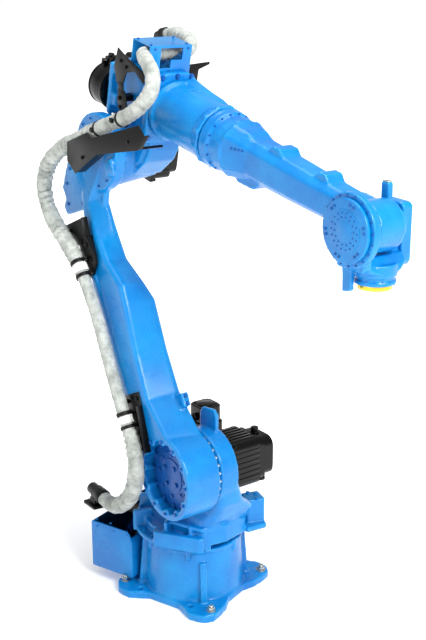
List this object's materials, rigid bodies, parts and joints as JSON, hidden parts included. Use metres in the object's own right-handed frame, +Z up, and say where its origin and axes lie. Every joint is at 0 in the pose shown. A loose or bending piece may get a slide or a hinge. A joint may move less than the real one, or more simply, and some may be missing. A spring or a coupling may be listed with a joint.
{
  "type": "six-axis articulated industrial robot arm",
  "caption": "Floor-mounted articulated robot arm with swivelling turret, leaning lower arm, forearm with bending wrist, motors and a fabric-sleeved dress hose along its side.",
  "frame": {"origin": "on the floor, on the swivel axis, at the underside of the base plate", "axes": "+Z up along the swivel axis, +X away from the connector box, +Y to the left looking along +X; the turret rests turned -20.5 degrees about +Z"},
  "size_m": [1.5517, 0.7879, 1.9934],
  "materials": {
    "blue_paint": "semi-gloss bright blue enamel over cast metal",
    "blue_cover": "satin darker blue enamel",
    "motor_black": "satin black, ribbed motor housings",
    "black_sheet": "satin black coated sheet steel",
    "clamp_rubber": "black rubber bands",
    "black_plastic": "matte black plastic",
    "hose_sleeve": "grey-white woven protective sleeve",
    "zinc_bolts": "zinc-plated bolts",
    "flange_gold": "machined flange with a yellow passivated finish"
  },
  "bodies": {
    "base": {"base_casting": "blue_paint", "anchor_bolts": "zinc_bolts", "connector_box": "blue_paint", "connector_lid": "blue_paint", "base_connectors": "black_plastic"},
    "turret": {"turret_casting": "blue_paint", "turret_bumper": "blue_paint", "turret_stop": "blue_paint", "lifting_plate": "blue_paint", "swivel_motor": "motor_black", "shoulder_motor": "motor_black", "hose_bracket": "black_sheet", "hose_socket": "black_plastic", "hose_lower_loop": "hose_sleeve"},
    "lower_arm": {"lower_arm_casting": "blue_paint", "shoulder_cover": "blue_cover", "front_stop": "blue_paint", "elbow_stop": "blue_paint", "rear_bracket": "blue_paint", "lower_hose_holder": "black_sheet", "upper_hose_holder": "black_sheet", "arm_hose_clamps": "clamp_rubber", "hose_arm_run": "hose_sleeve", "hose_upper_loop": "hose_sleeve"},
    "upper_arm": {"elbow_casting": "blue_paint", "roll_housing": "blue_paint", "motor_plate": "blue_paint", "roll_motor": "motor_black", "bend_motor": "motor_black", "twist_motor": "motor_black", "elbow_motor": "motor_black", "cable_box": "blue_paint", "hose_tray": "black_sheet", "hose_guide": "black_sheet", "far_bracket": "black_sheet", "tray_clamps": "clamp_rubber", "far_gland": "black_plastic", "hose_elbow_run": "hose_sleeve"},
    "forearm": {"forearm_flange": "blue_paint", "forearm_casting": "blue_paint", "forearm_lugs": "blue_paint"},
    "wrist": {"wrist_casting": "blue_paint", "wrist_near_cover": "blue_cover", "wrist_far_cover": "blue_paint"},
    "tool": {"tool_flange": "flange_gold"}
  },
  "joints": [
    {"name": "swivel", "type": "hinge", "parent": "base", "child": "turret", "pos_m": [0, 0, 0.24], "axis": [0, 0, 1], "range_deg": [-159.5, 200.5]},
    {"name": "shoulder", "type": "hinge", "parent": "turret", "child": "lower_arm", "pos_m": [0.13582, -0.05078, 0.54], "axis": [0.3502, 0.9367, 0], "range_deg": [-64.07, 115.93], "deforming": ["hose_lower_loop"]},
    {"name": "elbow", "type": "hinge", "parent": "lower_arm", "child": "upper_arm", "pos_m": [-0.3352, 0.12533, 1.57423], "axis": [-0.3502, -0.9367, 0], "range_deg": [-41.52, 198.48], "deforming": ["hose_upper_loop"]},
    {"name": "roll", "type": "hinge", "parent": "upper_arm", "child": "forearm", "pos_m": [0.16469, -0.06157, 1.67057], "axis": [0.9143, -0.3418, -0.2173], "range_deg": [-360, 360]},
    {"name": "bend", "type": "hinge", "parent": "forearm", "child": "wrist", "pos_m": [0.82755, -0.30941, 1.51303], "axis": [0.3502, 0.9367, 0], "range_deg": [-192.45, 37.55]},
    {"name": "twist", "type": "hinge", "parent": "wrist", "child": "tool", "pos_m": [0.82755, -0.30941, 1.33803], "axis": [0, 0, -1], "range_deg": [-360, 360]}
  ]
}
